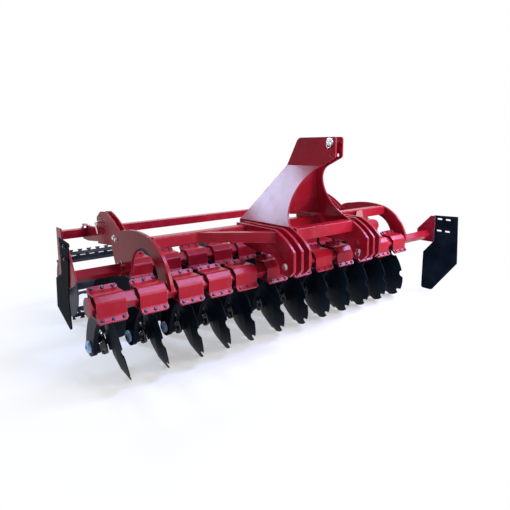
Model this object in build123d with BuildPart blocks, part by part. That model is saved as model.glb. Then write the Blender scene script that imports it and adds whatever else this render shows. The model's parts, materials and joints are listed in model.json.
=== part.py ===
"""Mounted compact disc harrow: two rows of notched discs on rubber-sprung arms, and a cage roller."""

import os
from collections import namedtuple
from math import acos, cos, radians, sin, sqrt

from build123d import *

# Layout: X across the machine, Y rearwards, Z up, ground at Z = 0, origin under the middle of the box
DISC_PITCH = 250.0
DISCS_PER_ROW = 12
ROW_SPACING = 690.0
ROW_OFFSET = 258.0
HITCH_REACH = 330.0
ROLLER_BACK = 1500.0
FLAT_CLEAR = 0.3
RUN_CLEAR = 0.05
SLIDE_CLEAR = 0.3

# Discs and their hubs
DISC_RADIUS = 280.0
DISC_THICK = 5.0
DISC_FLAT_RADIUS = 95.0
DISC_MID_RADIUS = 190.0
DISC_MID_DEPTH = 18.0
DISC_DEPTH = 55.0
NOTCH_COUNT = 8
NOTCH_RADIUS = 34.0
NOTCH_CENTRE = 287.0
GANG_ANGLE = 17.0
TILT_ANGLE = 12.0
HUB_LENGTH = 74.0
HUB_BASE_RADIUS = 54.0
HUB_NOSE_RADIUS = 43.0
HUB_GAP = 5.0
FLANGE_RADIUS = 60.0
FLANGE_THICK = 14.0
SPINDLE_RADIUS = 17.5
SPINDLE_DEPTH = 50.0
CAP_RADIUS = 36.0
CAP_THICK = 14.0

# Arms
ARM_THICK = 30.0
ARM_INSET = 15.0
ARM_BACK = 226.0
ARM_TOP_HALF = 50.0
ARM_END_RADIUS = 62.0
ARM_DROP = 332.0

# Row beams: square tubes standing on an edge
BEAM_SIDE = 80.0
BEAM_WALL = 8.0
BEAM_CORNER = 10.0
BEAM_OVERHANG = 112.0
BEAM_SOCKET = 145.0
END_CAP_RADIUS = 58.0
END_CAP_THICK = 8.0

# Clamps: pressed hats above and below the beam, with rubber between
CLAMP_WIDTH = 180.0
CLAMP_PLATE = 8.0
CLAMP_CROWN = 65.0
CLAMP_CROWN_HALF = 27.0
CLAMP_SHOULDER = 84.0
CLAMP_REACH = 122.0
CLAMP_BEND = 20.0
FLANGE_CORNER = 16.0
CORD_WIDTH = 36.0
CORD_LENGTH = 176.0
SIDE_CORD = 30.0
SIDE_CORD_CUT = 9.0

# Frame: arch plates, cross tubes and braces
ARCH_X = 1237.0
ARCH_THICK = 20.0
ARCH_OPENING = 208.0
ARCH_FOOT = 8.0
UPPER_TUBE = 80.0
UPPER_TUBE_BACK = 232.0
UPPER_TUBE_RISE = 262.0
TUBE_WALL = 8.0
HITCH_TUBE = 90.0
HITCH_TUBE_AHEAD = 140.0
HITCH_TUBE_SINK = 8.0
BRACE_HEIGHT = 70.0
BRACE_WIDTH = 74.0
BRACE_ROOT_X = 855.0
BRACE_TIP_AHEAD = 150.0

# Hitch plates and mast
HITCH_PLATE_X = (314.0, 387.0, 460.0)
HITCH_PLATE_BACK = (450.0, 300.0, 300.0)
HITCH_PLATE = 20.0
HITCH_TOP = 313.0
HITCH_UNDER = 130.0
HITCH_NOSE_LOW = 48.0
HITCH_NOSE_HIGH = 181.0
HITCH_HOLE_AHEAD = 249.0
HITCH_HOLE_RISE = (72.0, 140.0)
LOWER_PIN_RADIUS = 14.0
LOWER_HOLE_RADIUS = 14.35
MAST_GAP = 60.0
MAST_PLATE = 12.0
MAST_TOP = 942.0
MAST_BEND = 733.0
MAST_FRONT = 139.0
MAST_NOSE = 290.0
MAST_NOSE_LOW = 800.0
MAST_NOSE_ROUND = 18.0
MAST_HEAD_ROUND = 55.0
MAST_CHIN = (-164.0, 740.0)
MAST_WAIST = (-17.0, 555.0)
MAST_BASE_BACK = 442.0
MAST_TOP_BACK = 82.0
TOP_HOLE_RADIUS = 12.85
TOP_PIN_RADIUS = 12.75
TOP_HOLES = ((-239.0, 906.0), (-222.0, 858.0), (-250.0, 814.0))
WEB_PLATE = 12.0
WEB_IN = 225.0
WEB_LOW = 40.0
WEB_HIGH = 390.0

# Depth sectors and roller frame
SECTOR_GAP = 36.0
SECTOR_PLATE = 10.0
PIVOT_BACK = 835.0
PIVOT_RISE = 210.0
PIVOT_RADIUS = 15.0
SECTOR_RADIUS = 350.0
SECTOR_TURN = (-16.0, 21.0)
SECTOR_BROW = ((-149.0, 26.0), (8.0, 128.0), (152.0, 183.0))
SECTOR_CROWN = (254.0, 173.0)
SECTOR_FOOT = ((65.0, -70.0), (-75.0, -75.0))
SECTOR_HOLE_RADII = (200.0, 245.0, 290.0)
SECTOR_HOLE_ANGLES = (8.0, 18.0, 28.0)
SPACER_AHEAD = 85.0
SPACER_SIDE = 50.0
SPACER_ROUND = 8.0
PIN_STANDS = 10.0
PIN_HANDLE = 20.0
PIVOT_STANDS = 8.0
DEPTH_PIN_RADIUS = 10.0
SECTOR_HOLE_RADIUS = DEPTH_PIN_RADIUS + FLAT_CLEAR
ROLLER_ARM = 26.0
ROLLER_ARM_HALF = 40.0
ROLLER_LUG = 66.0
ROLLER_BEAM = 70.0
ROLLER_BEAM_RISE = 160.0
ROLLER_PLATE = 12.0
ROLLER_PLATE_HALF = 85.0

# Roller
ROLLER_RADIUS = 300.0
ROLLER_BARS = 10
BAR_DEPTH = 50.0
BAR_THICK = 10.0
TOOTH_PITCH = 80.0
TOOTH_DEPTH = 18.0
ROLLER_HALF = 1404.0
ROLLER_END_GAP = 20.0
SHAFT_STANDS = 6.0
ROLLER_DISC = 8.0
ROLLER_DISCS = 5
CORE_RADIUS = 57.0
SHAFT_RADIUS = 20.0
BEARING_RADIUS = 58.0
BEARING_THICK = 30.0
PLATE_HOLE_RADIUS = 32.0

# Side boards
BOARD_X = 1690.0
BOARD_THICK = 8.0
BRACKET_THICK = 10.0
BOARD_TUBE_LENGTH = 760.0
BOARD_TUBE_WALL = 6.0
BRACKET_ROUND = 12.0
BOARD_ROUND = 24.0
SLOT_LENGTH = 52.0
SLOT_WIDTH = 16.0

# Places worked out from the sizes above
RIM_SQUARES = DISC_RADIUS**2 + NOTCH_CENTRE**2 - NOTCH_RADIUS**2
HALF_NOTCH = acos(RIM_SQUARES / (2 * DISC_RADIUS * NOTCH_CENTRE))
TILT = radians(TILT_ANGLE)
GANG = radians(GANG_ANGLE)
BLADE_SEAT = HUB_LENGTH + HUB_GAP + FLANGE_THICK
RIM_SEAT = BLADE_SEAT + DISC_DEPTH
LOBE_REACH = DISC_RADIUS * cos(HALF_NOTCH)
HUB_HEIGHT = LOBE_REACH * cos(TILT) - RIM_SEAT * sin(TILT)
BEAM_Z = HUB_HEIGHT + ARM_DROP
FRONT_Y = (HITCH_REACH - ROLLER_BACK - ROLLER_RADIUS) / 2
REAR_Y = FRONT_Y + ROW_SPACING
ROLLER_Y = FRONT_Y + ROLLER_BACK
HALF_BAR_STEP = radians(180 / ROLLER_BARS)
ROLLER_Z = ROLLER_RADIUS * cos(HALF_BAR_STEP) + BAR_THICK / 2 * sin(HALF_BAR_STEP)
ROLLER_PLATE_X = ROLLER_HALF + ROLLER_END_GAP
BEAM_HALF = BEAM_SIDE / 2
BEAM_BORE = BEAM_SIDE - 2 * BEAM_WALL
BEAM_OUTER_END = ROW_OFFSET + DISC_PITCH * (DISCS_PER_ROW - 1) / 2 + BEAM_OVERHANG
BEAM_INNER_END = BEAM_OUTER_END - 2 * ROW_OFFSET + BEAM_SOCKET - BEAM_OVERHANG
MAST_X = (MAST_GAP + MAST_PLATE) / 2

# Clamps that step aside for the frame plates: place in the row, sidestep
SIDESTEPS = {1: 14.0, 2: 25.0, 4: -30.0}
FRONT_CLAMPS = [
    (place - (DISCS_PER_ROW - 1) / 2) * DISC_PITCH - ROW_OFFSET + SIDESTEPS.get(place, 0.0)
    for place in range(DISCS_PER_ROW)
]

# Rows: the rear one is the mirror image of the front one
Row = namedtuple("Row", "name y hand")
ROWS = (Row("front", FRONT_Y, 1), Row("rear", REAR_Y, -1))

os.makedirs("parts", exist_ok=True)


def save(part, name):
    """Label one finished piece and write its STEP file."""
    part.label = name
    export_step(part, f"parts/{name}.step")


def along_row(piece, row):
    """Copies of a front-row piece at each clamp of a row."""
    handed = piece if row.hand > 0 else mirror(piece, about=Plane.YZ)
    with BuildPart() as copies:
        with Locations(*[(row.hand * x, row.y, BEAM_Z) for x in FRONT_CLAMPS]):
            add(handed)
    return copies.part


def both_sides(piece):
    """A right-hand piece and its mirror image as one node."""
    with BuildPart() as pair:
        add(piece)
        mirror(about=Plane.YZ)
    return pair.part


def frame_side(x):
    """Upright plane along the machine at x, its origin on the front beam's axis."""
    return Plane(origin=(x, FRONT_Y, BEAM_Z), x_dir=(0, 1, 0), z_dir=(1, 0, 0))


def diamond(side, corner):
    """Square section standing on one edge."""
    RectangleRounded(side, side, corner, rotation=45)


# Row beams with a round end plate on the closed end
with BuildPart() as front_beam:
    with BuildSketch(frame_side(-BEAM_OUTER_END)):
        diamond(BEAM_SIDE, BEAM_CORNER)
        RectangleRounded(BEAM_BORE, BEAM_BORE, BEAM_CORNER - BEAM_WALL, rotation=45, mode=Mode.SUBTRACT)
    extrude(amount=BEAM_OUTER_END + BEAM_INNER_END)
    with BuildSketch(frame_side(-BEAM_OUTER_END)):
        Circle(END_CAP_RADIUS)
    extrude(amount=-END_CAP_THICK)
save(front_beam.part, "front_beam")

with BuildPart() as rear_beam:
    with Locations((0, ROW_SPACING, 0)):
        add(mirror(front_beam.part, about=Plane.YZ, mode=Mode.PRIVATE))
save(rear_beam.part, "rear_beam")

# Clamp hats in their own section plane: x along the flanges, y out through the crown
HAT_PLANE = Plane(origin=(-CLAMP_WIDTH / 2, 0, 0), x_dir=(0, 1, 1), z_dir=(1, 0, 0))
SPLIT_PLANE = Plane(origin=(0, 0, 0), x_dir=(1, 0, 0), z_dir=HAT_PLANE.y_dir)
HAT_SEAT = CLAMP_PLATE / 2
HAT_CREST = CLAMP_CROWN - CLAMP_PLATE / 2
with BuildPart() as clamp_top:
    with BuildSketch(HAT_PLANE):
        with BuildLine():
            FilletPolyline(
                (-CLAMP_REACH, HAT_SEAT),
                (-CLAMP_SHOULDER, HAT_SEAT),
                (-CLAMP_CROWN_HALF, HAT_CREST),
                (CLAMP_CROWN_HALF, HAT_CREST),
                (CLAMP_SHOULDER, HAT_SEAT),
                (CLAMP_REACH, HAT_SEAT),
                radius=CLAMP_BEND,
            )
            offset(amount=CLAMP_PLATE / 2, kind=Kind.INTERSECTION, side=Side.BOTH)
        make_face()
    extrude(amount=CLAMP_WIDTH)
    with BuildSketch(SPLIT_PLANE):
        RectangleRounded(CLAMP_WIDTH, 2 * CLAMP_REACH, FLANGE_CORNER)
    extrude(amount=CLAMP_CROWN, mode=Mode.INTERSECT)

with BuildPart() as clamp_base:
    add(mirror(clamp_top.part, about=SPLIT_PLANE, mode=Mode.PRIVATE))

# Rubber cords, pressed flat over and under the beam and left stout on its two other sides
CORD_PRESSED = CLAMP_CROWN - CLAMP_PLATE - BEAM_HALF - 2 * FLAT_CLEAR
CORD_SEAT = (CLAMP_CROWN - CLAMP_PLATE + BEAM_HALF) / 2
with BuildPart() as cords:
    with BuildSketch(HAT_PLANE.offset((CLAMP_WIDTH - CORD_LENGTH) / 2)):
        with Locations((0, CORD_SEAT), (0, -CORD_SEAT)):
            Rectangle(CORD_WIDTH, CORD_PRESSED)
        with Locations(*[(side * (BEAM_HALF + FLAT_CLEAR + SIDE_CORD / 2), 0) for side in (-1, 1)]):
            side_cord = Rectangle(SIDE_CORD, SIDE_CORD)
        chamfer(side_cord.vertices(), length=SIDE_CORD_CUT)
    extrude(amount=CORD_LENGTH)

# Arm: a thick plate from the lower hat back and down to the hub
ARM_FACE = -ARM_INSET
ARM_CROWN = Vector(0, 1, -1).normalized() * CLAMP_CROWN
ARM_EDGE = Vector(0, 1, 1).normalized() * ARM_TOP_HALF
ARM_FRONT = ARM_CROWN - ARM_EDGE
ARM_REAR = ARM_CROWN + ARM_EDGE
with BuildPart() as arm:
    with BuildSketch(Plane.YZ.offset(ARM_FACE - ARM_THICK)):
        with BuildLine():
            heel = Line((ARM_FRONT.Y, ARM_FRONT.Z), (ARM_REAR.Y, ARM_REAR.Z))
            back = ThreePointArc(
                heel @ 1,
                (ARM_BACK - 8, -ARM_DROP * 0.45),
                (ARM_BACK + ARM_END_RADIUS, -ARM_DROP),
            )
            toe = ThreePointArc(
                back @ 1,
                (ARM_BACK, -ARM_DROP - ARM_END_RADIUS),
                (ARM_BACK - ARM_END_RADIUS, -ARM_DROP),
            )
            ThreePointArc(toe @ 1, (ARM_BACK - 118, -ARM_DROP * 0.55), heel @ 0)
        make_face()
    extrude(amount=ARM_THICK)

# Hub axis: out of the arm towards the hollow side of the disc, forwards and slightly up
HUB_AXIS = Vector(cos(TILT) * cos(GANG), -cos(TILT) * sin(GANG), sin(TILT))
DOWN_THE_DISC = Vector(0, 0, -1) + HUB_AXIS * HUB_AXIS.Z
HUB_PLANE = Plane(
    origin=(ARM_FACE, ARM_BACK, -ARM_DROP),
    x_dir=DOWN_THE_DISC,
    z_dir=HUB_AXIS,
)
with BuildPart() as hub:
    with BuildSketch(HUB_PLANE.offset(-HUB_BASE_RADIUS)):
        Circle(HUB_BASE_RADIUS)
    extrude(amount=HUB_BASE_RADIUS + HUB_LENGTH / 2)
    with BuildSketch(HUB_PLANE.offset(HUB_LENGTH / 2)):
        Circle(HUB_NOSE_RADIUS)
    extrude(amount=HUB_LENGTH / 2)
    split(bisect_by=Plane.YZ.offset(ARM_FACE), keep=Keep.TOP)
    with BuildSketch(HUB_PLANE.offset(HUB_LENGTH)):
        Circle(SPINDLE_RADIUS + RUN_CLEAR)
    extrude(amount=-SPINDLE_DEPTH - FLAT_CLEAR, mode=Mode.SUBTRACT)
    with BuildSketch(Plane.YZ.offset(ARM_FACE - ARM_THICK)):
        with Locations((ARM_BACK, -ARM_DROP)):
            Circle(CAP_RADIUS)
    extrude(amount=-CAP_THICK)

# Disc: dished notched blade with its bolted flange and spindle, axis along Z
with BuildPart() as blade:
    with BuildSketch(Plane.XZ):
        with BuildLine():
            Polyline(
                (0, BLADE_SEAT - FLANGE_THICK - HUB_GAP - SPINDLE_DEPTH),
                (SPINDLE_RADIUS, BLADE_SEAT - FLANGE_THICK - HUB_GAP - SPINDLE_DEPTH),
                (SPINDLE_RADIUS, BLADE_SEAT - FLANGE_THICK),
                (FLANGE_RADIUS, BLADE_SEAT - FLANGE_THICK),
                (FLANGE_RADIUS, BLADE_SEAT),
                (DISC_FLAT_RADIUS, BLADE_SEAT),
                (DISC_MID_RADIUS, BLADE_SEAT + DISC_MID_DEPTH),
                (DISC_RADIUS, RIM_SEAT),
                (DISC_RADIUS, RIM_SEAT + DISC_THICK),
                (DISC_MID_RADIUS, BLADE_SEAT + DISC_MID_DEPTH + DISC_THICK),
                (DISC_FLAT_RADIUS, BLADE_SEAT + DISC_THICK),
                (0, BLADE_SEAT + DISC_THICK),
                close=True,
            )
        make_face()
    revolve(axis=Axis.Z)
    with BuildSketch(Plane.XY.offset(BLADE_SEAT)):
        with PolarLocations(NOTCH_CENTRE, NOTCH_COUNT):
            Circle(NOTCH_RADIUS)
    extrude(amount=DISC_DEPTH + DISC_THICK, mode=Mode.SUBTRACT)

with BuildPart() as disc:
    with Locations(HUB_PLANE):
        add(blade.part)

for row in ROWS:
    save(along_row(clamp_top.part, row), f"{row.name}_clamp_tops")
    save(along_row(clamp_base.part, row), f"{row.name}_clamp_bases")
    save(along_row(cords.part, row), f"{row.name}_rubber_cords")
    save(along_row(arm.part, row), f"{row.name}_arms")
    save(along_row(hub.part, row), f"{row.name}_hubs")
    handed_disc = disc.part if row.hand > 0 else mirror(disc.part, about=Plane.YZ)
    for place, x in enumerate(FRONT_CLAMPS, start=1):
        with BuildPart() as placed_disc:
            with Locations((row.hand * x, row.y, BEAM_Z)):
                add(handed_disc)
        save(placed_disc.part, f"{row.name}_disc_{place:02d}")

# Arch plates: from the front beam over to the rear beam
with BuildPart() as arch:
    with BuildSketch(frame_side(ARCH_X - ARCH_THICK / 2)):
        with BuildLine():
            rise = ThreePointArc((-62, ARCH_FOOT), (15, 172), (204, 301))
            crest = ThreePointArc(rise @ 1, (400, 322), (ROW_SPACING - 90, 300))
            tail = ThreePointArc(crest @ 1, (ROW_SPACING + 75, 240), (ROW_SPACING + 155, 130))
            Polyline(tail @ 1, (ROW_SPACING + 100, ARCH_FOOT), rise @ 0)
        make_face()
        with Locations(((ROW_SPACING - 66) / 2, ARCH_FOOT)):
            Circle(ARCH_OPENING, mode=Mode.SUBTRACT)
        with Locations((0, 0), (ROW_SPACING, 0)):
            RectangleRounded(BEAM_SIDE, BEAM_SIDE, BEAM_CORNER, rotation=45, mode=Mode.SUBTRACT)
    extrude(amount=ARCH_THICK)
save(both_sides(arch.part), "arch_plates")

# Upper cross tube between the arches
with BuildPart() as upper_tube:
    with BuildSketch(frame_side(-ARCH_X + ARCH_THICK / 2)):
        with Locations((UPPER_TUBE_BACK, UPPER_TUBE_RISE)):
            RectangleRounded(UPPER_TUBE, UPPER_TUBE, BEAM_CORNER)
            Rectangle(UPPER_TUBE - 2 * TUBE_WALL, UPPER_TUBE - 2 * TUBE_WALL, mode=Mode.SUBTRACT)
    extrude(amount=2 * ARCH_X - ARCH_THICK)
save(upper_tube.part, "upper_tube")

# Hitch plates, three a side, with two lower-link holes in each
with BuildPart() as hitch_plates:
    for plate_x, plate_back in zip(HITCH_PLATE_X, HITCH_PLATE_BACK):
        with BuildSketch(frame_side(plate_x - HITCH_PLATE / 2)):
            with BuildLine():
                nose = Line((-HITCH_REACH, HITCH_NOSE_LOW), (-HITCH_REACH, HITCH_NOSE_HIGH))
                brow = ThreePointArc(nose @ 1, (-252, 252), (-134, HITCH_TOP))
                under = Polyline(
                    brow @ 1,
                    (plate_back, HITCH_TOP),
                    (plate_back, HITCH_TOP - 60),
                    (UPPER_TUBE_BACK + UPPER_TUBE / 2, HITCH_UNDER + 40),
                    (80, HITCH_UNDER),
                    (-100, HITCH_UNDER),
                )
                throat = ThreePointArc(under @ 1, (-165, 90), (-195, 8))
                Polyline(throat @ 1, (-292, 8), nose @ 0)
            make_face()
            with Locations((UPPER_TUBE_BACK, UPPER_TUBE_RISE)):
                RectangleRounded(UPPER_TUBE, UPPER_TUBE, BEAM_CORNER, mode=Mode.SUBTRACT)
            with Locations(*[(-HITCH_HOLE_AHEAD, rise) for rise in HITCH_HOLE_RISE]):
                Circle(LOWER_HOLE_RADIUS, mode=Mode.SUBTRACT)
        extrude(amount=HITCH_PLATE)
save(hitch_plates.part, "right_hitch_plates")
with BuildPart() as left_hitch_plates:
    add(mirror(hitch_plates.part, about=Plane.YZ, mode=Mode.PRIVATE))
save(left_hitch_plates.part, "left_hitch_plates")

# Front cross tube between the hitch plates
INNER_FACE = HITCH_PLATE_X[0] - HITCH_PLATE / 2
OUTER_FACE = HITCH_PLATE_X[-1] + HITCH_PLATE / 2
with BuildPart() as hitch_tube:
    with BuildSketch(frame_side(-INNER_FACE)):
        with Locations((-HITCH_TUBE_AHEAD, HITCH_TOP - HITCH_TUBE / 2 - HITCH_TUBE_SINK)):
            RectangleRounded(HITCH_TUBE, HITCH_TUBE, BEAM_CORNER)
            Rectangle(HITCH_TUBE - 2 * TUBE_WALL, HITCH_TUBE - 2 * TUBE_WALL, mode=Mode.SUBTRACT)
    extrude(amount=2 * INNER_FACE)
save(hitch_tube.part, "hitch_tube")

# Diagonal braces from the upper tube to the outer hitch plates
UPPER_TUBE_FACE = UPPER_TUBE_BACK - UPPER_TUBE / 2
with BuildPart() as brace:
    with BuildSketch(Plane.XY.offset(BEAM_Z + UPPER_TUBE_RISE - BRACE_HEIGHT / 2)):
        with BuildLine():
            Polyline(
                (BRACE_ROOT_X - BRACE_WIDTH / 2, FRONT_Y + UPPER_TUBE_FACE),
                (BRACE_ROOT_X + BRACE_WIDTH / 2, FRONT_Y + UPPER_TUBE_FACE),
                (OUTER_FACE, FRONT_Y - BRACE_TIP_AHEAD),
                (OUTER_FACE, FRONT_Y - BRACE_TIP_AHEAD + BRACE_WIDTH),
                close=True,
            )
        make_face()
    extrude(amount=BRACE_HEIGHT)
save(both_sides(brace.part), "brace_tubes")

# Mast: two bent plates from the inner hitch plates up to the top link, cut to one side outline
MAST_SPREAD = HITCH_PLATE_X[0]
MAST_SLANT = (MAST_SPREAD - MAST_X) / (MAST_BEND - HITCH_TOP)
MAST_SKEW = MAST_PLATE / 2 * sqrt(1 + MAST_SLANT**2)
MAST_KNEE = MAST_PLATE / 2 * (sqrt(1 + MAST_SLANT**2) - 1) / MAST_SLANT
MAST_SPAN = Plane(origin=(0, FRONT_Y - HITCH_REACH, BEAM_Z), x_dir=(1, 0, 0), z_dir=(0, -1, 0))
MAST_RUN = -(HITCH_REACH + MAST_BASE_BACK)

with BuildPart() as mast:
    with BuildSketch(MAST_SPAN):
        with BuildLine():
            Polyline(
                (MAST_X - MAST_PLATE / 2, MAST_TOP),
                (MAST_X + MAST_PLATE / 2, MAST_TOP),
                (MAST_X + MAST_PLATE / 2, MAST_BEND + MAST_KNEE),
                (MAST_SPREAD + MAST_SKEW, HITCH_TOP),
                (MAST_SPREAD - MAST_SKEW, HITCH_TOP),
                (MAST_X - MAST_PLATE / 2, MAST_BEND - MAST_KNEE),
                close=True,
            )
        make_face()
    extrude(amount=MAST_RUN)
    with BuildSketch(frame_side(0)):
        with BuildLine():
            foot = Line((-MAST_FRONT, HITCH_TOP), (MAST_BASE_BACK, HITCH_TOP))
            head = Polyline(
                foot @ 1,
                (MAST_TOP_BACK, MAST_TOP),
                (-MAST_NOSE, MAST_TOP),
                (-MAST_NOSE, MAST_NOSE_LOW),
                MAST_CHIN,
            )
            ThreePointArc(head @ 1, MAST_WAIST, foot @ 0)
        make_face()
        with Locations(*TOP_HOLES):
            Circle(TOP_HOLE_RADIUS, mode=Mode.SUBTRACT)
    extrude(amount=MAST_SPREAD + 2 * MAST_SKEW, mode=Mode.INTERSECT)
    fillet(mast.edges().filter_by(Axis.X).group_by(Axis.Z)[-1].sort_by(Axis.Y)[-1:], radius=MAST_HEAD_ROUND)
    fillet(mast.edges().filter_by(Axis.X).group_by(Axis.Y)[0], radius=MAST_NOSE_ROUND)
save(both_sides(mast.part), "mast_plates")

# Web between the mast plates, along their rear edges
WEB_SLOPE = (MAST_BASE_BACK - MAST_TOP_BACK) / (MAST_TOP - HITCH_TOP)
WEB_FOOT = MAST_BASE_BACK - WEB_IN
with BuildPart() as mast_web:
    with BuildSketch(MAST_SPAN):
        with BuildLine():
            Polyline(
                (MAST_X - MAST_PLATE / 2, MAST_TOP),
                (MAST_X - MAST_PLATE / 2, MAST_BEND - MAST_KNEE),
                (MAST_SPREAD - MAST_SKEW, HITCH_TOP),
                (-MAST_SPREAD + MAST_SKEW, HITCH_TOP),
                (-MAST_X + MAST_PLATE / 2, MAST_BEND - MAST_KNEE),
                (-MAST_X + MAST_PLATE / 2, MAST_TOP),
                close=True,
            )
        make_face()
    extrude(amount=MAST_RUN)
    with BuildSketch(frame_side(-MAST_SPREAD)):
        with BuildLine():
            Polyline(
                (WEB_FOOT - WEB_SLOPE * WEB_LOW, HITCH_TOP + WEB_LOW),
                (WEB_FOOT - WEB_SLOPE * WEB_HIGH, HITCH_TOP + WEB_HIGH),
                (WEB_FOOT - WEB_SLOPE * WEB_HIGH - WEB_PLATE, HITCH_TOP + WEB_HIGH),
                (WEB_FOOT - WEB_SLOPE * WEB_LOW - WEB_PLATE, HITCH_TOP + WEB_LOW),
                close=True,
            )
        make_face()
    extrude(amount=2 * MAST_SPREAD, mode=Mode.INTERSECT)
save(mast_web.part, "mast_web")

# Hitch pins: lower-link pins in the lower holes, top-link pin in the top hole
with BuildPart() as hitch_pins:
    for side in (-1, 1):
        with BuildSketch(frame_side(side * (OUTER_FACE + 18))):
            with Locations((-HITCH_HOLE_AHEAD, HITCH_HOLE_RISE[0])):
                Circle(LOWER_PIN_RADIUS)
        extrude(amount=-side * (OUTER_FACE - INNER_FACE + 36))
    with BuildSketch(frame_side(-MAST_X - MAST_PLATE)):
        with Locations(TOP_HOLES[0]):
            Circle(TOP_PIN_RADIUS)
    extrude(amount=2 * (MAST_X + MAST_PLATE))
save(hitch_pins.part, "hitch_pins")

# Depth sectors: a pair of plates inside each arch, with the roller arm between them
SECTOR_INNER = SECTOR_GAP / 2
SECTOR_OUTER = SECTOR_INNER + SECTOR_PLATE
SECTOR_X = ARCH_X - ARCH_THICK / 2 - SECTOR_OUTER


def by_pivot(back, rise):
    """Point of the side plane, given from the roller arm's pivot."""
    return (PIVOT_BACK + back, PIVOT_RISE + rise)


def round_pivot(radius, degrees):
    """Point of the side plane at a radius and an angle above the level line through the pivot."""
    return by_pivot(radius * cos(radians(degrees)), radius * sin(radians(degrees)))


with BuildPart() as sector:
    with BuildSketch(frame_side(SECTOR_X + SECTOR_INNER)):
        with BuildLine():
            brow = ThreePointArc(*[by_pivot(*spot) for spot in SECTOR_BROW])
            crown = Polyline(brow @ 1, by_pivot(*SECTOR_CROWN), round_pivot(SECTOR_RADIUS, SECTOR_TURN[1]))
            rim = [round_pivot(SECTOR_RADIUS, turn) for turn in (0.0, SECTOR_TURN[0])]
            edge = ThreePointArc(crown @ 1, *rim)
            Polyline(edge @ 1, *[by_pivot(*spot) for spot in SECTOR_FOOT], brow @ 0)
        make_face()
        with Locations((PIVOT_BACK, PIVOT_RISE)):
            Circle(PIVOT_RADIUS + RUN_CLEAR, mode=Mode.SUBTRACT)
        with Locations(*[round_pivot(r, a) for r in SECTOR_HOLE_RADII for a in SECTOR_HOLE_ANGLES]):
            Circle(SECTOR_HOLE_RADIUS, mode=Mode.SUBTRACT)
    extrude(amount=SECTOR_PLATE)
    mirror(about=Plane.YZ.offset(SECTOR_X))
    with BuildSketch(frame_side(SECTOR_X - SECTOR_INNER)):
        with Locations((PIVOT_BACK - SPACER_AHEAD, PIVOT_RISE)):
            RectangleRounded(SPACER_SIDE, SPACER_SIDE, SPACER_ROUND)
    extrude(amount=SECTOR_GAP)
save(both_sides(sector.part), "sector_plates")

# Pivot pins of the roller arms and the depth pins above them
with BuildPart() as pivot:
    with BuildSketch(frame_side(SECTOR_X - SECTOR_OUTER - PIVOT_STANDS)):
        with Locations((PIVOT_BACK, PIVOT_RISE)):
            Circle(PIVOT_RADIUS)
    extrude(amount=2 * (SECTOR_OUTER + PIVOT_STANDS))
save(both_sides(pivot.part), "pivot_pins")

with BuildPart() as depth_pin:
    with BuildSketch(frame_side(SECTOR_X - SECTOR_OUTER - PIN_STANDS)):
        with Locations(round_pivot(SECTOR_HOLE_RADII[-1], SECTOR_HOLE_ANGLES[1])):
            Circle(DEPTH_PIN_RADIUS)
    extrude(amount=2 * SECTOR_OUTER + PIN_STANDS + PIN_HANDLE)
save(both_sides(depth_pin.part), "depth_pins")

# Roller arms: thick plates from the pivot back to the roller beam
ARM_RUN = ROLLER_BACK - PIVOT_BACK
ARM_FALL = ROLLER_BEAM_RISE - PIVOT_RISE
with BuildPart() as roller_arm:
    with BuildSketch(frame_side(SECTOR_X - ROLLER_ARM / 2)):
        with BuildLine():
            top = Line(by_pivot(0, ROLLER_ARM_HALF), by_pivot(ARM_RUN - ROLLER_LUG, ARM_FALL + ROLLER_LUG))
            end = Polyline(
                top @ 1,
                by_pivot(ARM_RUN + ROLLER_LUG, ARM_FALL + ROLLER_LUG),
                by_pivot(ARM_RUN + ROLLER_LUG, ARM_FALL - ROLLER_LUG),
                by_pivot(ARM_RUN - ROLLER_LUG, ARM_FALL - ROLLER_LUG),
                by_pivot(0, -ROLLER_ARM_HALF),
            )
            ThreePointArc(end @ 1, by_pivot(-ROLLER_ARM_HALF, 0), top @ 0)
        make_face()
        with Locations((PIVOT_BACK, PIVOT_RISE)):
            Circle(PIVOT_RADIUS + RUN_CLEAR, mode=Mode.SUBTRACT)
        with Locations((ROLLER_BACK, ROLLER_BEAM_RISE)):
            Rectangle(ROLLER_BEAM, ROLLER_BEAM, mode=Mode.SUBTRACT)
    extrude(amount=ROLLER_ARM)
save(both_sides(roller_arm.part), "roller_arms")

# Roller beam, side plates and bearings
with BuildPart() as roller_beam:
    with BuildSketch(frame_side(-ROLLER_PLATE_X)):
        with Locations((ROLLER_BACK, ROLLER_BEAM_RISE)):
            Rectangle(ROLLER_BEAM, ROLLER_BEAM)
            Rectangle(ROLLER_BEAM - 2 * TUBE_WALL, ROLLER_BEAM - 2 * TUBE_WALL, mode=Mode.SUBTRACT)
    extrude(amount=2 * ROLLER_PLATE_X)
save(roller_beam.part, "roller_beam")

ROLLER_DROP = ROLLER_Z - BEAM_Z
with BuildPart() as roller_plate:
    with BuildSketch(frame_side(ROLLER_PLATE_X)):
        with BuildLine():
            lid = Line((ROLLER_BACK - 50, ROLLER_BEAM_RISE + 60), (ROLLER_BACK + 60, ROLLER_BEAM_RISE + 60))
            rear = Line(lid @ 1, (ROLLER_BACK + ROLLER_PLATE_HALF, ROLLER_DROP))
            toe = ThreePointArc(
                rear @ 1,
                (ROLLER_BACK, ROLLER_DROP - ROLLER_PLATE_HALF),
                (ROLLER_BACK - ROLLER_PLATE_HALF, ROLLER_DROP),
            )
            Line(toe @ 1, lid @ 0)
        make_face()
        with Locations((ROLLER_BACK, ROLLER_DROP)):
            Circle(PLATE_HOLE_RADIUS, mode=Mode.SUBTRACT)
    extrude(amount=ROLLER_PLATE)
save(both_sides(roller_plate.part), "roller_side_plates")

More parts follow.
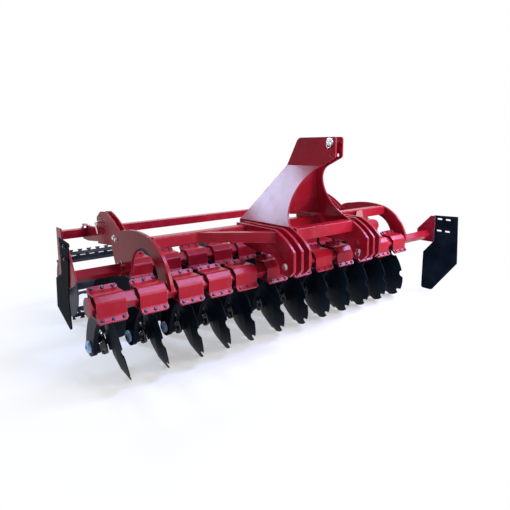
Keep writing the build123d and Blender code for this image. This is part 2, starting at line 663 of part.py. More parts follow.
BEARING_FACE = ROLLER_PLATE_X + ROLLER_PLATE
with BuildPart() as bearing:
    with BuildSketch(frame_side(BEARING_FACE)):
        with Locations((ROLLER_BACK, ROLLER_DROP)):
            Circle(BEARING_RADIUS)
            Circle(SHAFT_RADIUS + RUN_CLEAR, mode=Mode.SUBTRACT)
    extrude(amount=BEARING_THICK)
save(both_sides(bearing.part), "roller_bearings")

# Roller: core tube, ring plates and serrated bars, all welded
ROLLER_PLANE = Plane(origin=(0, ROLLER_Y, ROLLER_Z), x_dir=(0, 1, 0), z_dir=(1, 0, 0))
BAR_PLANE = Plane(origin=(0, ROLLER_Y, ROLLER_Z), x_dir=(1, 0, 0), z_dir=(0, -1, 0))
BAR_TEETH = int(2 * ROLLER_HALF / TOOTH_PITCH)
with BuildPart() as bar:
    with BuildSketch(BAR_PLANE):
        with Locations((0, ROLLER_RADIUS - BAR_DEPTH / 2)):
            Rectangle(2 * ROLLER_HALF, BAR_DEPTH)
        with Locations((0, ROLLER_RADIUS)):
            with GridLocations(TOOTH_PITCH, 1, BAR_TEETH, 1):
                Trapezoid(TOOTH_PITCH * 0.7, 2 * TOOTH_DEPTH, 120, rotation=180, mode=Mode.SUBTRACT)
    extrude(amount=BAR_THICK / 2, both=True)

with BuildPart() as roller:
    with BuildSketch(ROLLER_PLANE.offset(-ROLLER_HALF)):
        Circle(CORE_RADIUS)
    extrude(amount=2 * ROLLER_HALF)
    with BuildSketch(ROLLER_PLANE.offset(-BEARING_FACE - BEARING_THICK - SHAFT_STANDS)):
        Circle(SHAFT_RADIUS)
    extrude(amount=2 * (BEARING_FACE + BEARING_THICK + SHAFT_STANDS))
    for ring in range(ROLLER_DISCS):
        ring_x = -ROLLER_HALF + ring * (2 * ROLLER_HALF - ROLLER_DISC) / (ROLLER_DISCS - 1)
        with BuildSketch(ROLLER_PLANE.offset(ring_x)):
            Circle(ROLLER_RADIUS - TOOTH_DEPTH - 12)
        extrude(amount=ROLLER_DISC)
    for turn in range(ROLLER_BARS):
        spin = (turn + 0.5) * 360 / ROLLER_BARS
        add(bar.part.rotate(Axis((0, ROLLER_Y, ROLLER_Z), (1, 0, 0)), spin))
save(roller.part, "roller_cage")

# Side boards on tubes that telescope in the open beam ends
TUBE_SIDE = BEAM_BORE - 2 * SLIDE_CLEAR
TUBE_INSIDE = TUBE_SIDE - 2 * BOARD_TUBE_WALL
with BuildPart() as board_tube:
    with BuildSketch(frame_side(BOARD_X - BRACKET_THICK)):
        RectangleRounded(TUBE_SIDE, TUBE_SIDE, BEAM_CORNER - BEAM_WALL, rotation=45)
        Rectangle(TUBE_INSIDE, TUBE_INSIDE, rotation=45, mode=Mode.SUBTRACT)
    extrude(amount=-BOARD_TUBE_LENGTH)

# Boards and brackets, each outline given behind and above its own beam's axis
BoardSet = namedtuple("BoardSet", "name hand y bracket board slots")
BOARD_SETS = (
    BoardSet(
        "right",
        1,
        FRONT_Y,
        ((-75, 190), (-30, 190), (110, 45), (110, 5), (62, -70), (-75, -70)),
        ((-60, 195), (-300, 205), (-322, -246), (-79, -560), (36, -560), (36, -185), (-70, -62)),
        ((-120, 165), (-205, 165), (-120, 50), (-205, 50)),
    ),
    BoardSet(
        "left",
        -1,
        REAR_Y,
        ((-95, 285), (-207, 282), (-335, 57), (-283, 22), (-75, -70), (52, -70), (52, 5), (-95, 72)),
        ((-76, 306), (-262, 293), (-182, -105), (-197, -318), (79, -207), (53, 5), (-82, 60)),
        ((-120, 265), (-205, 265), (-120, 180), (-190, 180)),
    ),
)
for side in BOARD_SETS:
    with BuildPart() as bracket:
        with BuildSketch(frame_side(BOARD_X - BRACKET_THICK)):
            with BuildLine():
                Polyline(*side.bracket, close=True)
            make_face()
        extrude(amount=BRACKET_THICK)
        fillet(bracket.edges().filter_by(Axis.X), radius=BRACKET_ROUND)
    with BuildPart() as board:
        with BuildSketch(frame_side(BOARD_X)):
            with BuildLine():
                Polyline(*side.board, close=True)
            make_face()
            with Locations(*side.slots):
                SlotOverall(SLOT_LENGTH, SLOT_WIDTH, mode=Mode.SUBTRACT)
        extrude(amount=BOARD_THICK)
        fillet(board.edges().filter_by(Axis.X).group_by(Axis.Z)[0], radius=BOARD_ROUND)
    for piece, name in ((board_tube, "tube"), (bracket, "bracket"), (board, "")):
        handed = piece.part if side.hand > 0 else mirror(piece.part, about=Plane.YZ)
        with BuildPart() as placed_piece:
            with Locations((0, side.y - FRONT_Y, 0)):
                add(handed)
        save(placed_piece.part, f"{side.name}_board_{name}".rstrip("_"))
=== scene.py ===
"""Looks of a mounted compact disc harrow: paint, fasteners, pins, weld beads and the studio round it."""

import json
from math import cos, pi, radians, sin, sqrt

import bmesh
import bpy
from bpy.props import FloatProperty, FloatVectorProperty, IntProperty, PointerProperty
from mathutils import Matrix, Vector


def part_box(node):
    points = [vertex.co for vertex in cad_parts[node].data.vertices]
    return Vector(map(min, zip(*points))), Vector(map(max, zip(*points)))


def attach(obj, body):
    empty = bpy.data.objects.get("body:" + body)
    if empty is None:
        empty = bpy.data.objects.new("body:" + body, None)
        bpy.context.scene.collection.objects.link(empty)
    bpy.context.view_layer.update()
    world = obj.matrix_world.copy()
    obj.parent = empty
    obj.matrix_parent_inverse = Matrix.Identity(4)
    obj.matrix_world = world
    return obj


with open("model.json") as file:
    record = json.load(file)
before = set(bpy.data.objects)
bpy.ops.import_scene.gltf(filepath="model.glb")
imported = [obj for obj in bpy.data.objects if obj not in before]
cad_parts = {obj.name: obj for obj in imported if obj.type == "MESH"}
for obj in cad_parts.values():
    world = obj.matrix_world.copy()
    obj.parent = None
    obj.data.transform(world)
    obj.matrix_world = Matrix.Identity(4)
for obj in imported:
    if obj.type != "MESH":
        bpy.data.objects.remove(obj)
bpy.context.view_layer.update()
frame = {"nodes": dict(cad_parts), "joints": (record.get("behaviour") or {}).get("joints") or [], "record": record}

bl_info = {
    "name": "Disc harrow looks",
    "version": (1, 0, 0),
    "blender": (4, 5, 0),
    "location": "View3D > Sidebar > Harrow",
    "description": "Dresses a mounted disc harrow in paint, fasteners, pins and weld beads",
    "category": "Object",
}

MM = 0.001
FRONT = Vector((0, -1, 0))
UP = Vector((0, 0, 1))
RIGHT = Vector((1, 0, 0))
SIDES = (-1, 1)
ROWS = ("front", "rear")

# Clamp section: along the flanges, and out through the crown of the upper hat
FLANGE_WAY = Vector((0, 1, 1)).normalized()
CROWN_WAY = Vector((0, -1, 1)).normalized()
FLANGE_FACE = 8 * MM

# Where a disc's spin axis meets its arm, seen from the clamp's middle on the beam axis
ARM_FACE = 15 * MM
HUB_BACK = 226 * MM
HUB_DROP = 332 * MM

# Along a disc's spin axis from its arm
RING_START = 26 * MM
BOSS_START = 40 * MM
DISC_SEAT = 98 * MM

# Front beam axis, from which the frame plates are set out
BEAM_LOW, BEAM_HIGH = (Vector(corner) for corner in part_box("front_beam"))
AXIS_Y = (BEAM_LOW.y + BEAM_HIGH.y) / 2
AXIS_Z = (BEAM_LOW.z + BEAM_HIGH.z) / 2

# Places in millimetres: X across from the middle, pairs are behind and above the front beam's axis
ROW_STEP = 690
ARCH_X = 1237
HITCH_PLATES_X = (314, 387, 460)
PLATE_HALF = 10
HITCH_INNER_X = HITCH_PLATES_X[0] - PLATE_HALF
HITCH_OUTER_X = HITCH_PLATES_X[-1] + PLATE_HALF
LINK_PIN = (-249, 72)
MAST_HALF = 42
MAST_PIN = (-239, 906)
UPPER_TUBE = (232, 262)
HITCH_TUBE = (-140, 260)
SECTOR_X = 1199
SECTOR_HALF = 28
PIVOT = (835, 210)
SECTOR_BOLT = (750, 210)
DEPTH_PIN = (1110.8, 299.6)
ROLLER_BACK = 1500
ROLLER_ARM_HALF = 13
STRIP_RISE = 209.5
BEARING_X = 1466
BEARING_RADIUS = 58
BEAM_END_X = 1254.5
BOARD_OUTER_X = 1698
BOARD_INNER_X = 1680

# Turned shapes as (radius, height) in millimetres
HUB_RING = ((43.2, 0), (50, 0), (54, 4), (56, 12), (60, 20), (69, 27), (74, 31), (74, 41), (70, 46), (43.2, 46))
HUB_CAP = ((0, 9), (12, 8.5), (24, 6.5), (31, 3.5), (31.5, 0), (38.5, 0.5), (39, -2), (39, -12), (36.3, -13.5))
DUST_CAP = ((31, 0), (30, 3), (27, 4), (25, 11), (18, 15), (0, 16.5))
LINK_PIN_HEAD = ((14.2, 0), (24, 0), (24, 6), (22, 8), (14.2, 8))
LINK_PIN_COLLAR = ((14.2, 0), (22, 0), (22, 5), (14.2, 5))
MAST_PIN_HEAD = ((12.9, 0), (30, 0), (31, 3), (29, 9), (22, 11), (20, 9), (0, 9))
MAST_PIN_COLLAR = ((12.9, 0), (24, 0), (24, 5), (12.9, 5))
PIVOT_WASHER = ((15.2, 0), (22, 0), (22, 3), (15.2, 3))

# Bends of a depth pin's handle from the pin's end, in millimetres: outwards, forwards, up
HANDLE_BENDS = ((-22, 0, 0), (6, 0, 0), (14, -8, -8), (16, 28, -62), (14, 34, -88))

# Side boards: name, side, row's place behind the front beam, bolts behind and above that row's beam
BOARDS = (
    ("right", 1, 0, ((-68, 150), (-68, 40), (-68, -40))),
    ("left", -1, ROW_STEP, ((-120, 265), (-190, 265), (-120, 180), (-190, 180))),
)

# Soft lights: name, place, target, size across and along, property that holds the power, colour
LIGHTS = (
    ("key_light", (2.2, -6.0, 3.6), (0.1, -0.2, 0.5), (2.6, 2.6), "key_power", (1.0, 0.95, 0.96)),
    ("sheen_light", (-1.65, 2.55, 3.5), (-0.18, -0.58, 1.09), (1.0, 1.0), "sheen_power", (0.58, 0.72, 1.0)),
    ("side_light", (3.2, -2.1, 4.3), (3.2, -0.8, 0.6), (7.0, 1.0), "side_power", (0.46, 0.52, 1.0)),
)

# Floor: it goes over to white between these distances from the middle, from this share on
FLOOR_RADIUS = 60.0
FLOOR_DROP = 0.5 * MM
FLOOR_FADE = (1.2, 2.7)
FLOOR_WHITE = 0.45


def at(x, back, rise):
    """Point in metres from millimetres across, behind and above the front beam's axis."""
    return Vector((x * MM, AXIS_Y + back * MM, AXIS_Z + rise * MM))


class HarrowFinish(bpy.types.PropertyGroup):
    """Colours of the paints and platings."""

    red: FloatVectorProperty(
        name="Red paint", description="Gloss red of the frame, clamps and mast",
        subtype="COLOR", size=3, min=0, max=1, default=(0.38, 0.010, 0.022))
    # Painted highlight: the paler pink that red edges go over to stands in for light catching the edges
    edge: FloatVectorProperty(
        name="Red edges", description="Paler pink painted along edges as a highlight",
        subtype="COLOR", size=3, min=0, max=1, default=(0.80, 0.46, 0.52))
    black: FloatVectorProperty(
        name="Black paint", description="Satin black of the arms and hubs",
        subtype="COLOR", size=3, min=0, max=1, default=(0.008, 0.0095, 0.012))
    board: FloatVectorProperty(
        name="Board paint", description="Blue black of the side boards",
        subtype="COLOR", size=3, min=0, max=1, default=(0.0035, 0.006, 0.0085))
    disc: FloatVectorProperty(
        name="Disc paint", description="Black of the notched discs",
        subtype="COLOR", size=3, min=0, max=1, default=(0.004, 0.007, 0.0095))
    roller: FloatVectorProperty(
        name="Roller paint", description="Dark grey of the cage roller",
        subtype="COLOR", size=3, min=0, max=1, default=(0.016, 0.02, 0.026))
    zinc: FloatVectorProperty(
        name="Zinc plate", description="Bright plating of pins and roller bolts",
        subtype="COLOR", size=3, min=0, max=1, default=(0.72, 0.73, 0.74))
    cap: FloatVectorProperty(
        name="Hub cap", description="Pale blue of the hub caps on the arms",
        subtype="COLOR", size=3, min=0, max=1, default=(0.34, 0.48, 0.60))
    bolt: FloatVectorProperty(
        name="Dark bolt", description="Blued steel of the clamp bolts",
        subtype="COLOR", size=3, min=0, max=1, default=(0.028, 0.028, 0.048))


class HarrowSizes(bpy.types.PropertyGroup):
    """Sizes of the fasteners and fittings."""

    clamp_bolt: FloatProperty(
        name="Clamp bolt", description="Width across flats of the clamp bolts",
        unit="LENGTH", default=17 * MM)
    clamp_bolt_step: FloatProperty(
        name="Clamp bolt step", description="Distance between clamp bolts along a flange",
        unit="LENGTH", default=65 * MM)
    clamp_bolt_out: FloatProperty(
        name="Clamp bolt offset", description="Distance of a bolt row from the beam's middle along the flange",
        unit="LENGTH", default=105 * MM)
    disc_bolts: IntProperty(
        name="Disc bolts", description="Number of bolts that hold one disc to its flange", default=5)
    disc_bolt_ring: FloatProperty(
        name="Disc bolt ring", description="Radius of the bolt circle of a disc",
        unit="LENGTH", default=46 * MM)
    hub_bolts: IntProperty(
        name="Hub bolts", description="Number of bosses with a bolt round one hub", default=5)
    hub_bolt_ring: FloatProperty(
        name="Hub bolt ring", description="Radius of the bolt circle of a hub",
        unit="LENGTH", default=61 * MM)
    weld_radius: FloatProperty(
        name="Weld radius", description="Radius of the weld beads", unit="LENGTH", default=5 * MM)


class HarrowStage(bpy.types.PropertyGroup):
    """Camera and lights of the studio."""

    eye: FloatVectorProperty(
        name="Camera place", description="Camera's place from the front beam's axis",
        subtype="TRANSLATION", unit="LENGTH", size=3, default=(-2.615, -2.560, 0.894))
    yaw: FloatProperty(
        name="Yaw", description="Camera's turn from straight behind towards the right",
        subtype="ANGLE", default=radians(38.06))
    pitch: FloatProperty(
        name="Pitch", description="Camera's slope below the horizon", subtype="ANGLE", default=radians(10.91))
    roll: FloatProperty(name="Roll", description="Camera's roll", subtype="ANGLE", default=radians(-0.5))
    lens: FloatProperty(
        name="Lens", description="Focal length", subtype="DISTANCE_CAMERA", unit="CAMERA", default=33.556)
    shift: FloatVectorProperty(
        name="Shift", description="Camera's shift across and up", size=2, default=(0.0169, -0.0370))
    key_power: FloatProperty(
        name="Key power", description="Power of the main soft light", unit="POWER", default=345.0)
    sheen_power: FloatProperty(
        name="Sheen power", description="Power of the soft light behind the left side",
        unit="POWER", default=150.0)
    side_power: FloatProperty(
        name="Side power", description="Power of the long soft light above the front row",
        unit="POWER", default=600.0)
    sky: FloatVectorProperty(
        name="Sky", description="Colour of the light from all round",
        subtype="COLOR", size=3, min=0, max=1, default=(0.80, 0.84, 1.0))
    sky_strength: FloatProperty(
        name="Sky strength", description="Level of the light from all round", default=0.16)


class Value:
    """A shader socket that adds Math nodes when Python operators are used on it."""

    def __init__(self, tree, socket):
        self.tree = tree
        self.socket = socket

    def math(self, operation, *others):
        return self.tree.node("ShaderNodeMath", {"operation": operation}, (self, *others))

    def __add__(self, other):
        return self.math("ADD", other)

    def __radd__(self, other):
        return self.math("ADD", other)

    def __mul__(self, other):
        return self.math("MULTIPLY", other)

    def __rmul__(self, other):
        return self.math("MULTIPLY", other)

    def __sub__(self, other):
        return self.math("SUBTRACT", other)

    def __rsub__(self, other):
        return self.tree.node("ShaderNodeMath", {"operation": "SUBTRACT"}, (other, self))

    def over(self, low, high):
        """0 below low, 1 above high, smooth between."""
        settings = {"interpolation_type": "SMOOTHSTEP"}
        sockets = {"Value": self, "From Min": low, "From Max": high}
        return self.tree.node("ShaderNodeMapRange", settings, sockets)


class Recipe:
    """Node tree of one material or world, written as expressions."""

    def __init__(self, owner):
        owner.use_nodes = True
        self.tree = owner.node_tree
        self.tree.nodes.clear()

    def node(self, kind, settings=None, inputs=(), output=0):
        """Add a node, set it up, feed its sockets and give back one output."""
        made = self.tree.nodes.new(kind)
        for key, setting in (settings or {}).items():
            setattr(made, key, setting)
        pairs = inputs.items() if isinstance(inputs, dict) else enumerate(inputs)
        for socket, given in pairs:
            if isinstance(given, Value):
                self.tree.links.new(given.socket, made.inputs[socket])
            else:
                made.inputs[socket].default_value = given
        return Value(self, made.outputs[output]) if made.outputs else None

    def coords(self):
        return self.node("ShaderNodeTexCoord", output="Object")

    def noise(self, scale, detail, roughness=0.5, stretch=None):
        """Value of a noise on Object coordinates, centred on 0.5."""
        place = self.coords()
        if stretch:
            place = self.node("ShaderNodeMapping", inputs={"Vector": place, "Scale": stretch})
        sockets = {"Vector": place, "Scale": scale, "Detail": detail, "Roughness": roughness}
        return self.node("ShaderNodeTexNoise", inputs=sockets)

    def mix(self, factor, low, high):
        """Colour between two colours."""
        settings = {"data_type": "RGBA", "clamp_factor": True}
        sockets = {0: factor, 6: self.colour(low), 7: self.colour(high)}
        return self.node("ShaderNodeMix", settings, sockets, output=2)

    @staticmethod
    def colour(given):
        return given if isinstance(given, Value) else (*given, 1.0)

    def seen(self):
        """1 for rays from the camera, from reflections and through glass, 0 for lighting."""
        kinds = ("Is Camera Ray", "Is Glossy Ray", "Is Transmission Ray")
        rays = [self.node("ShaderNodeLightPath", output=kind) for kind in kinds]
        return rays[0].math("MAXIMUM", rays[1]).math("MAXIMUM", rays[2])

    def rounded(self, radius):
        """Normal with the edges eased by a radius."""
        return self.node("ShaderNodeBevel", {"samples": 6}, {"Radius": radius})

    def edges(self, radius):
        """1 on sharp edges, 0 on flats."""
        true_normal = self.node("ShaderNodeNewGeometry", output="Normal")
        settings = {"operation": "DOT_PRODUCT"}
        turn = self.node("ShaderNodeVectorMath", settings, (true_normal, self.rounded(radius)), "Value")
        return (1.0 - turn).over(0.02, 0.3)

    def bump(self, height, distance, strength, normal=None):
        sockets = {"Height": height, "Distance": distance, "Strength": strength}
        if normal:
            sockets["Normal"] = normal
        return self.node("ShaderNodeBump", inputs=sockets)

    def surface(self, **sockets):
        """Principled shader on the material's output."""
        named = {name.replace("_", " "): given for name, given in sockets.items()}
        shader = self.node("ShaderNodeBsdfPrincipled", inputs=named, output="BSDF")
        self.node("ShaderNodeOutputMaterial", inputs={"Surface": shader})


def material(name):
    """New material and its recipe."""
    made = bpy.data.materials.new(name)
    return made, Recipe(made)


def gloss_paint(name, colour, pale, eased=3 * MM, ripple=0.0):
    """Sprayed gloss paint: slow colour drift, orange peel, a painted highlight in paler pink along edges and a
    little dust.
    """
    _, recipe = material(name)
    deep = tuple(c * 0.78 for c in colour)
    drift = recipe.noise(scale=3.2, detail=2.0)
    peel = recipe.noise(scale=420.0, detail=2.0)
    runs = recipe.noise(scale=26.0, detail=4.0, roughness=0.6)
    edge = recipe.edges(eased)
    dust = (recipe.noise(scale=9.0, detail=5.0, roughness=0.65) - 0.45).over(0.0, 0.4)
    base = recipe.mix(drift.over(0.3, 0.7), deep, colour)
    # Painted highlight: edges go over to the paler pink
    base = recipe.mix(edge * 0.7, base, pale)
    base = recipe.mix(dust * 0.06, base, (0.45, 0.38, 0.36))
    height = peel * 0.4 + runs * 0.6
    if ripple:
        height = height + recipe.noise(scale=160.0, detail=1.0) * ripple
    recipe.surface(
        Base_Color=base,
        Roughness=0.20 + dust * 0.12 + (runs - 0.5) * 0.06,
        Normal=recipe.bump(height, 0.25 * MM, 0.35, recipe.rounded(eased)),
        Specular_IOR_Level=0.09, Coat_Weight=0.05, Coat_Roughness=0.10, Coat_IOR=1.5, IOR=1.5)


def satin_black(name, colour, edge_wear_and_highlight, rough, eased=2.5 * MM, coat=0.0, shine=0.18):
    """Dark paint over blasted steel: fine grain, faint cloudiness, lighter in patches along edges, partly as wear
    and partly as a painted highlight.
    """
    _, recipe = material(name)
    cloud = recipe.noise(scale=7.0, detail=4.0, roughness=0.6)
    grain = recipe.noise(scale=520.0, detail=2.0)
    scuff = recipe.noise(scale=38.0, detail=6.0, roughness=0.7)
    edge = recipe.edges(eased)
    base = recipe.mix(cloud.over(0.3, 0.75), colour, tuple(c * 2.1 for c in colour))
    # Lighter in patches along edges: partly wear, partly a painted highlight
    base = recipe.mix(edge * scuff.over(0.35, 0.7), base, edge_wear_and_highlight)
    recipe.surface(
        Base_Color=base,
        Roughness=rough + (cloud - 0.5) * 0.16 + (scuff - 0.5) * 0.10,
        Normal=recipe.bump(grain * 0.6 + scuff * 0.4, 0.3 * MM, 0.4, recipe.rounded(eased)),
        Coat_Weight=coat, Coat_Roughness=0.22, Specular_IOR_Level=shine, IOR=1.45)


def plated(name, colour):
    """Zinc plate: bright metal with passivation clouds and fine scratches."""
    _, recipe = material(name)
    dark = tuple(c * 0.66 for c in colour)
    cloud = recipe.noise(scale=34.0, detail=4.0, roughness=0.6)
    scratch = recipe.noise(scale=260.0, detail=3.0, roughness=0.6, stretch=(1.0, 1.0, 0.12))
    recipe.surface(
        Base_Color=recipe.mix(cloud.over(0.3, 0.7), dark, colour),
        Metallic=1.0,
        Roughness=0.28 + (cloud - 0.5) * 0.2,
        Normal=recipe.bump(scratch, 0.15 * MM, 0.35, recipe.rounded(1 * MM)))


def rubber(name):
    """Dull black rubber with a bloom of grey."""
    _, recipe = material(name)
    bloom = recipe.noise(scale=18.0, detail=5.0, roughness=0.65)
    grain = recipe.noise(scale=650.0, detail=2.0)
    recipe.surface(
        Base_Color=recipe.mix(bloom.over(0.35, 0.75), (0.008, 0.008, 0.008), (0.028, 0.028, 0.03)),
        Roughness=0.68 + (bloom - 0.5) * 0.2,
        Normal=recipe.bump(grain, 0.3 * MM, 0.5),
        IOR=1.42)


def finishes():
    """All finishes of the machine by name, made once."""
    if "frame red" not in bpy.data.materials:
        tone = bpy.context.scene.harrow_finish
        # The frame and weld reds take the paler pink of the painted edge highlight
        red, edge, black = tuple(tone.red), tuple(tone.edge), tuple(tone.black)
        gloss_paint("frame red", red, edge)
        gloss_paint("weld red", red, edge, eased=1 * MM, ripple=2.5)
        # The third colour of each black is what its edges go over to, partly wear and partly a painted highlight
        satin_black("arm black", black, (0.10, 0.12, 0.15), rough=0.34, shine=0.06)
        satin_black("hub black", black, (0.05, 0.06, 0.075), rough=0.26, coat=0.35, shine=0.3)
        satin_black("board black", tuple(tone.board), (0.05, 0.06, 0.08), rough=0.58, shine=0.02)
        satin_black("disc black", tuple(tone.disc), (0.10, 0.12, 0.14), rough=0.46, eased=2 * MM, shine=0.045)
        satin_black("roller grey", tuple(tone.roller), (0.10, 0.11, 0.12), rough=0.46, eased=2 * MM)
        satin_black("cap blue", tuple(tone.cap), (0.45, 0.52, 0.58), rough=0.34, coat=0.1)
        satin_black("bolt blue", tuple(tone.bolt), (0.24, 0.26, 0.32), rough=0.28, eased=1 * MM)
        plated("zinc", tuple(tone.zinc))
        rubber("cord rubber")
    return {made.name: made for made in bpy.data.materials}


def turned(origin, axis, towards=UP):
    """Placement with Z along axis and X as near to towards as it goes."""
    z = Vector(axis).normalized()
    if abs(z.dot(towards)) > 0.99:
        towards = RIGHT
    x = (towards - z * z.dot(towards)).normalized()
    y = z.cross(x)
    place = Matrix((x, y, z)).transposed().to_4x4()
    place.translation = origin
    return place


def shifted(along):
    """Step along the placement's Z."""
    return Matrix.Translation((0, 0, along))


def ring_of(count, radius, start=0.0):
    """Steps to places on a circle about the placement's Z."""
    return [Matrix.Rotation(start + number * 2 * pi / count, 4, "Z") @ Matrix.Translation((radius, 0, 0))
            for number in range(count)]


def drum(bm, place, radius, length, segments, ease=0.0):
    """Capped cylinder from the placement's origin along its Z, with eased rims."""
    made = bmesh.ops.create_cone(
        bm, cap_ends=True, segments=segments, radius1=radius, radius2=radius, depth=length,
        matrix=place @ shifted(length / 2))["verts"]
    if ease:
        rims = [e for e in {e for v in made for e in v.link_edges} if len(e.link_faces) == 2
                and any(len(f.verts) == segments for f in e.link_faces)]
        bmesh.ops.bevel(bm, geom=rims, offset=ease, affect="EDGES", segments=2, profile=0.5, material=-1)


def hexagon(bm, place, flats, height):
    """Hexagon head or nut with its outer rim chamfered."""
    corner = flats / sqrt(3)
    made = bmesh.ops.create_cone(
        bm, cap_ends=True, segments=6, radius1=corner, radius2=corner, depth=height,
        matrix=place @ shifted(height / 2))["verts"]
    out = place.to_3x3() @ UP
    top = [f for f in {f for v in made for f in v.link_faces} if f.normal.dot(out) > 0.9]
    rims = [e for f in top for e in f.edges]
    bmesh.ops.bevel(
        bm, geom=rims, offset=height * 0.16, affect="EDGES", segments=1, profile=0.5, material=-1)


def bolt(bm, place, flats):
    """Washer and hexagon head on a face."""
    washer = flats * 0.12
    drum(bm, place, flats * 0.66, washer, segments=16)
    hexagon(bm, place @ shifted(washer), flats, flats * 0.42)


def spin_round(bm, place, verts, edges, steps):
    """Spin a profile all the way about the placement's Z."""
    bmesh.ops.spin(
        bm, geom=verts + edges, cent=place.translation, axis=place.to_3x3() @ UP, dvec=(0, 0, 0),
        angle=2 * pi, steps=steps, use_merge=True, use_duplicate=False)


def spun(bm, place, profile, steps=28):
    """Turned solid from (radius, height) points in millimetres, closed to a ring or down to the axis."""
    outline = list(profile)
    if profile[0][0] == 0:
        outline.append((0, profile[-1][1]))
    elif profile[-1][0] == 0:
        outline.insert(0, (0, profile[0][1]))
    verts = [bm.verts.new(place @ Vector((r * MM, 0, h * MM))) for r, h in outline]
    edges = [bm.edges.new(pair) for pair in zip(verts, verts[1:])]
    if len(outline) == len(profile):
        edges.append(bm.edges.new((verts[-1], verts[0])))
    spin_round(bm, place, verts, edges, steps)


def hoop(bm, place, radius, thick):
    """Ring of round wire about the placement's Z."""
    section = place @ Matrix.Translation((radius, 0, 0)) @ Matrix.Rotation(pi / 2, 4, "X")
    verts = bmesh.ops.create_circle(bm, segments=8, radius=thick, matrix=section)["verts"]
    spin_round(bm, place, verts, list({e for v in verts for e in v.link_edges}), steps=20)


def dress(made, body, finish):
    """Bring a new object into the scene with its finish, body and material slot."""
    bpy.context.scene.collection.objects.link(made)
    made.data.materials.append(finishes()[finish])
    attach(made, body)


def piece(name, bm, body, finish):
    """Finished object from a bmesh: outward normals, smooth where it is round."""
    bmesh.ops.remove_doubles(bm, verts=bm.verts, dist=1e-6)
    bmesh.ops.recalc_face_normals(bm, faces=bm.faces)
    mesh = bpy.data.meshes.new(name)
    bm.to_mesh(mesh)
    bm.free()
    mesh.shade_smooth()
    mesh.set_sharp_from_angle(angle=radians(32))
    dress(bpy.data.objects.new(name, mesh), body, finish)


def wire(name, runs, radius, body, finish, closed=()):
    """Round wire along straight runs, one spline each; the numbers of closed runs are given."""
    curve = bpy.data.curves.new(name, "CURVE")
    curve.dimensions = "3D"
    curve.bevel_depth = radius
    curve.bevel_resolution = 2
    curve.use_fill_caps = True
    for number, run in enumerate(runs):
        spline = curve.splines.new("POLY")
        spline.points.add(len(run) - 1)
        for point, spot in zip(spline.points, run):
            point.co = (*spot, 1)
        spline.use_cyclic_u = number in closed
    dress(bpy.data.objects.new(name, curve), body, finish)


def spindles(row):
    """Spin joints of one row: body name, place on the arm, axis and hand."""
    found = []
    for joint in frame["joints"]:
        if joint["name"].startswith(f"{row}_disc") and joint["name"].endswith("_spin"):
            axis = Vector(joint["axis"])
            found.append((joint["child"], Vector(joint["pos_m"]), axis, 1 if axis.x > 0 else -1))
    if not found:
        raise RuntimeError(f"the frame has no disc joints in the {row} row")
    return found


def clamp_centres(row):
    """Middles of the row's clamps on the beam's axis."""
    return [spot + Vector((hand * ARM_FACE, -HUB_BACK, HUB_DROP)) for _, spot, _, hand in spindles(row)]


class HARROW_OT_paint(bpy.types.Operator):
    """Give every solid of the machine its paint, plating or rubber"""

    bl_idname = "harrow.paint"
    bl_label = "Paint the solids"

    def execute(self, context):
        by_slot = {
            "red_paint": "frame red", "black_paint": "arm black", "disc_paint": "disc black",
            "roller_paint": "roller grey", "zinc_plate": "zinc", "rubber": "cord rubber",
        }
        paints = finishes()
        for part in frame["record"]["subparts"]:
            solid = frame["nodes"][part["node"]]
            finish = by_slot[part["material_slot"]]
            if part["node"].endswith("_board"):
                finish = "board black"
            solid.data.materials.clear()
            solid.data.materials.append(paints[finish])
        return {"FINISHED"}


class HARROW_OT_clamp_bolts(bpy.types.Operator):
    """Bolt every clamp through its flanges, three in front and three behind"""

    bl_idname = "harrow.clamp_bolts"
    bl_label = "Clamp bolts"

    def execute(self, context):
        size = context.scene.harrow_sizes
        for row in ROWS:
            bm = bmesh.new()
            for centre in clamp_centres(row):
                for side in SIDES:
                    for step in (-1, 0, 1):
                        along = FLANGE_WAY * side * size.clamp_bolt_out
                        spot = centre + along + RIGHT * step * size.clamp_bolt_step
                        for way in (CROWN_WAY, -CROWN_WAY):
                            bolt(bm, turned(spot + way * FLANGE_FACE, way, RIGHT), size.clamp_bolt)
            piece(f"{row}_clamp_bolts", bm, "frame", "bolt blue")
        return {"FINISHED"}


class HARROW_OT_hub_castings(bpy.types.Operator):
    """Ring castings with bolted bosses on the hubs, and a pale cap on the outside of each arm"""

    bl_idname = "harrow.hub_castings"
    bl_label = "Hubs and caps"

    def execute(self, context):
        size = context.scene.harrow_sizes
        arm_outside = 44 * MM
        for row in ROWS:
            rings = bmesh.new()
            caps = bmesh.new()
            for _, spot, axis, hand in spindles(row):
                place = turned(spot, axis)
                spun(rings, place @ shifted(RING_START), HUB_RING)
                for step in ring_of(size.hub_bolts, size.hub_bolt_ring):
                    boss = place @ step @ shifted(BOSS_START)
                    drum(rings, boss, 14 * MM, 20 * MM, segments=16, ease=3 * MM)
                    bolt(rings, boss @ Matrix.Rotation(pi, 4, "X"), 17 * MM)
                outside = turned(spot - RIGHT * hand * arm_outside, -RIGHT * hand)
                hexagon(rings, outside @ shifted(7 * MM), 20 * MM, 4 * MM)
                spun(caps, outside, HUB_CAP)
            piece(f"{row}_hub_rings", rings, "frame", "hub black")
            piece(f"{row}_hub_caps", caps, "frame", "cap blue")
        return {"FINISHED"}


class HARROW_OT_disc_bolts(bpy.types.Operator):
    """Bolts and a dust cap in the hollow of each disc, turning with it"""

    bl_idname = "harrow.disc_bolts"
    bl_label = "Disc bolts"

    def execute(self, context):
        size = context.scene.harrow_sizes
        for row in ROWS:
            for body, spot, axis, _ in spindles(row):
                bm = bmesh.new()
                place = turned(spot, axis) @ shifted(DISC_SEAT)
                for step in ring_of(size.disc_bolts, size.disc_bolt_ring):
                    bolt(bm, place @ step, 19 * MM)
                spun(bm, place, DUST_CAP, steps=20)
                piece(f"{body}_bolts", bm, body, "arm black")
        return {"FINISHED"}


